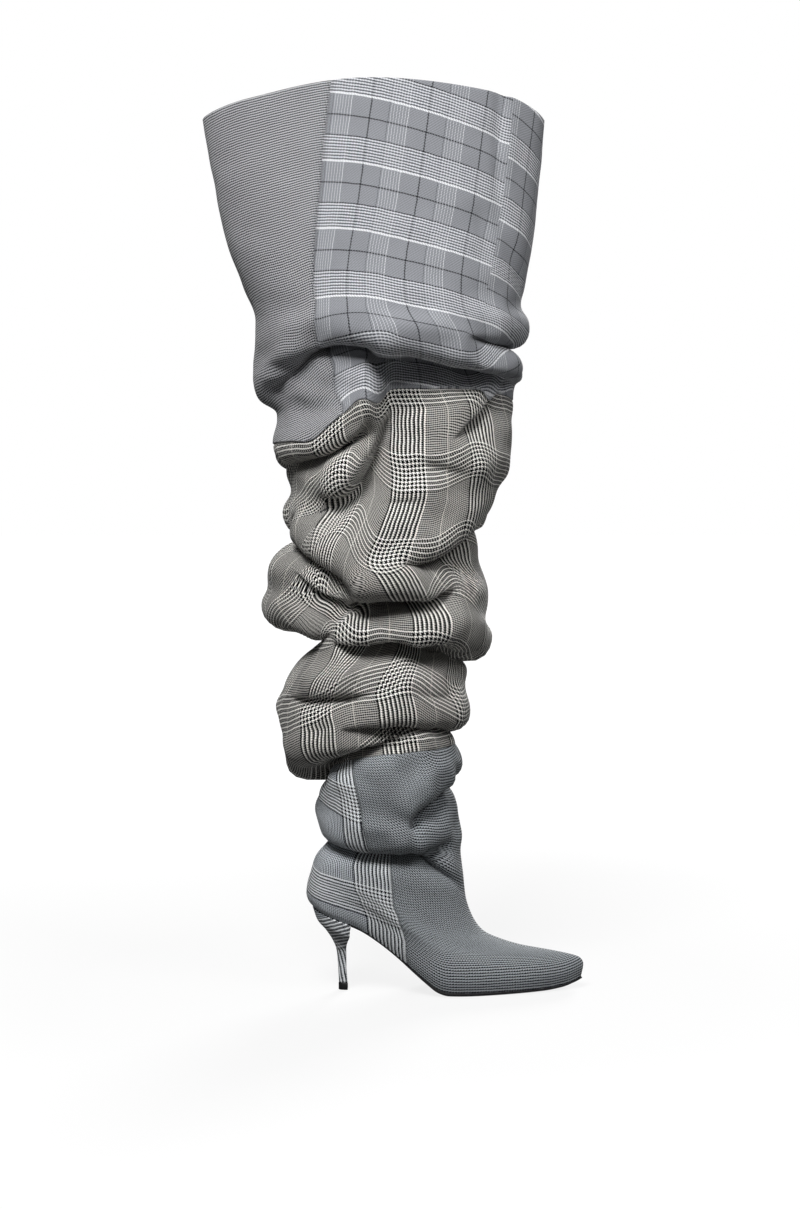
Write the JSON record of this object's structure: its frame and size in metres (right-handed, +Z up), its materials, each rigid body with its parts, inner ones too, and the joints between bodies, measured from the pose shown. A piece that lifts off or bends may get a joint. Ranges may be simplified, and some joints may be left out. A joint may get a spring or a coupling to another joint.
{
  "type": "thigh-high boot",
  "caption": "Slouched thigh-high boot in patchwork checked wool with a pointed toe, covered stiletto heel, thin sole and loose folded shaft, for a right foot.",
  "frame": {"origin": "on the floor, under the middle of the boot's box", "axes": "+Z up along the shaft, +X from heel to toe, -Y to the outer side of the foot, +Y to the inner side"},
  "size_m": [0.3303, 0.1569, 0.7827],
  "materials": {
    "vamp_cloth": "matt wool",
    "middle_cloth": "matt wool",
    "top_cloth": "matt wool",
    "heel_cloth": "matt wool over a moulded core",
    "sole_leather": "smooth black",
    "insole_leather": "plain lining leather",
    "top_piece_rubber": "hard black rubber"
  },
  "bodies": {
    "root": {"upper": "vamp_cloth", "shaft_middle": "middle_cloth", "shaft_top": "top_cloth", "heel": "heel_cloth", "heel_top_piece": "top_piece_rubber", "outsole": "sole_leather", "insole": "insole_leather"}
  },
  "joints": []
}
